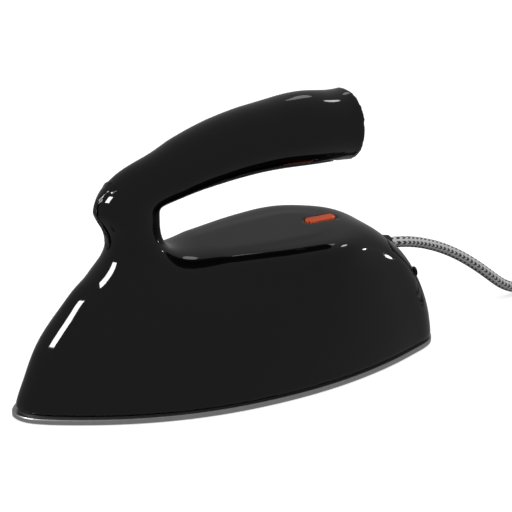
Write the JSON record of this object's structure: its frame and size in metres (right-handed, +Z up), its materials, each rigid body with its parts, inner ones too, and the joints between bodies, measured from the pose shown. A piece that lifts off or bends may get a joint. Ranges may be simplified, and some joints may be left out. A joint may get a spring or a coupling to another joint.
{
  "type": "clothes iron",
  "caption": "Dry clothes iron: glossy black housing with an open-ended handle, bright soleplate, pilot lamp, rear temperature dial and braided mains cord.",
  "frame": {"origin": "on the surface it stands on, under the middle of the soleplate", "axes": "+X to the rear (heel), -X the nose, +Y the iron's right side, +Z up"},
  "size_m": [0.423, 0.165, 0.1443],
  "materials": {
    "housing": "polished black moulding",
    "handle_under_cover": "black, slightly less glossy",
    "under_cover_screw": "zinc-plated steel",
    "neck_front_trim": "satin black strip",
    "rear_cover": "black moulding",
    "rear_cover_screws": "black-zinc steel",
    "heel_pads": "matt rubber",
    "lamp_lens": "translucent amber-red, ribbed",
    "lamp_bulb": "clear glass",
    "lamp_leads": "tinned wire",
    "lamp_resistor": "lacquered ceramic",
    "skirt": "heat-resistant black phenolic",
    "soleplate": "ground and polished face, bright rim",
    "housing_studs": "plated steel",
    "heating_element": "oxidised steel sheath",
    "element_beads": "white ceramic",
    "element_pins": "nickel-plated steel",
    "heat_shield": "sheet, mill finish",
    "shield_posts": "turned steel",
    "shield_screws": "zinc-plated steel",
    "thermostat_bracket": "pressed steel",
    "bimetal_strip": "bare bimetal",
    "contact_blade_lower": "spring bronze",
    "contact_blade_upper": "spring bronze",
    "contact_rivets": "silver",
    "ceramic_spacers": "white steatite",
    "stack_screw": "plated steel",
    "push_pin": "white ceramic",
    "dial_spindle": "turned steel",
    "temperature_dial": "satin dark grey, milled rim",
    "terminal_tray": "grey heat-resistant moulding",
    "terminal_block": "white ceramic",
    "terminal_screws": "brass",
    "cord_clamp": "black nylon",
    "clamp_screws": "zinc-plated steel",
    "live_wire": "brown silicone",
    "switched_wire": "glass-fibre sleeve",
    "neutral_wire": "blue silicone",
    "earth_wire": "green and yellow silicone",
    "earth_screw": "brass screw and ring",
    "thermal_fuse": "fuse in a glass-fibre sleeve",
    "inner_cord": "braided sheath",
    "cord_guard": "black moulded rubber",
    "cord_tube": "light grey braid with black chevrons",
    "cord_tail": "light grey braid with black chevrons",
    "cord_coil": "light grey braid with black chevrons",
    "cord_tie": "black strap",
    "plug_body": "black moulding",
    "plug_pins": "nickel-plated brass"
  },
  "bodies": {
    "iron": {"housing": "housing", "handle_under_cover": "handle_under_cover", "under_cover_screw": "under_cover_screw", "neck_front_trim": "neck_front_trim", "rear_cover": "rear_cover", "rear_cover_screws": "rear_cover_screws", "heel_pads": "heel_pads", "lamp_lens": "lamp_lens", "lamp_bulb": "lamp_bulb", "lamp_leads": "lamp_leads", "lamp_resistor": "lamp_resistor", "skirt": "skirt", "soleplate": "soleplate", "housing_studs": "housing_studs", "heating_element": "heating_element", "element_beads": "element_beads", "element_pins": "element_pins", "heat_shield": "heat_shield", "shield_posts": "shield_posts", "shield_screws": "shield_screws", "thermostat_bracket": "thermostat_bracket", "bimetal_strip": "bimetal_strip", "contact_blade_lower": "contact_blade_lower", "contact_blade_upper": "contact_blade_upper", "contact_rivets": "contact_rivets", "ceramic_spacers": "ceramic_spacers", "stack_screw": "stack_screw", "terminal_tray": "terminal_tray", "terminal_block": "terminal_block", "terminal_screws": "terminal_screws", "cord_clamp": "cord_clamp", "clamp_screws": "clamp_screws", "live_wire": "live_wire", "switched_wire": "switched_wire", "neutral_wire": "neutral_wire", "earth_wire": "earth_wire", "earth_screw": "earth_screw", "thermal_fuse": "thermal_fuse", "inner_cord": "inner_cord", "cord_tube": "cord_tube", "cord_tail": "cord_tail", "cord_coil": "cord_coil", "cord_tie": "cord_tie", "plug_body": "plug_body", "plug_pins": "plug_pins"},
    "dial": {"dial_spindle": "dial_spindle", "temperature_dial": "temperature_dial"},
    "pin": {"push_pin": "push_pin"},
    "cord_guard": {"cord_guard": "cord_guard"}
  },
  "joints": [
    {"name": "dial_turn", "type": "hinge", "parent": "iron", "child": "dial", "pos_m": [0.088, 0, 0.0295], "axis": [0, 0, 1], "range_deg": [0, 270]},
    {"name": "pin_slide", "type": "slide", "parent": "iron", "child": "pin", "axis": [0, 0, -1], "range_m": [0, 0.000525]},
    {"name": "guard_swivel", "type": "hinge", "parent": "iron", "child": "cord_guard", "pos_m": [0.093, 0, 0.0502], "axis": [1, 0, 0], "range_deg": [-90, 90]}
  ],
  "couplings": [
    {"joint": "pin_slide", "follows": "dial_turn", "m_per_rad": 0.00011141}
  ]
}
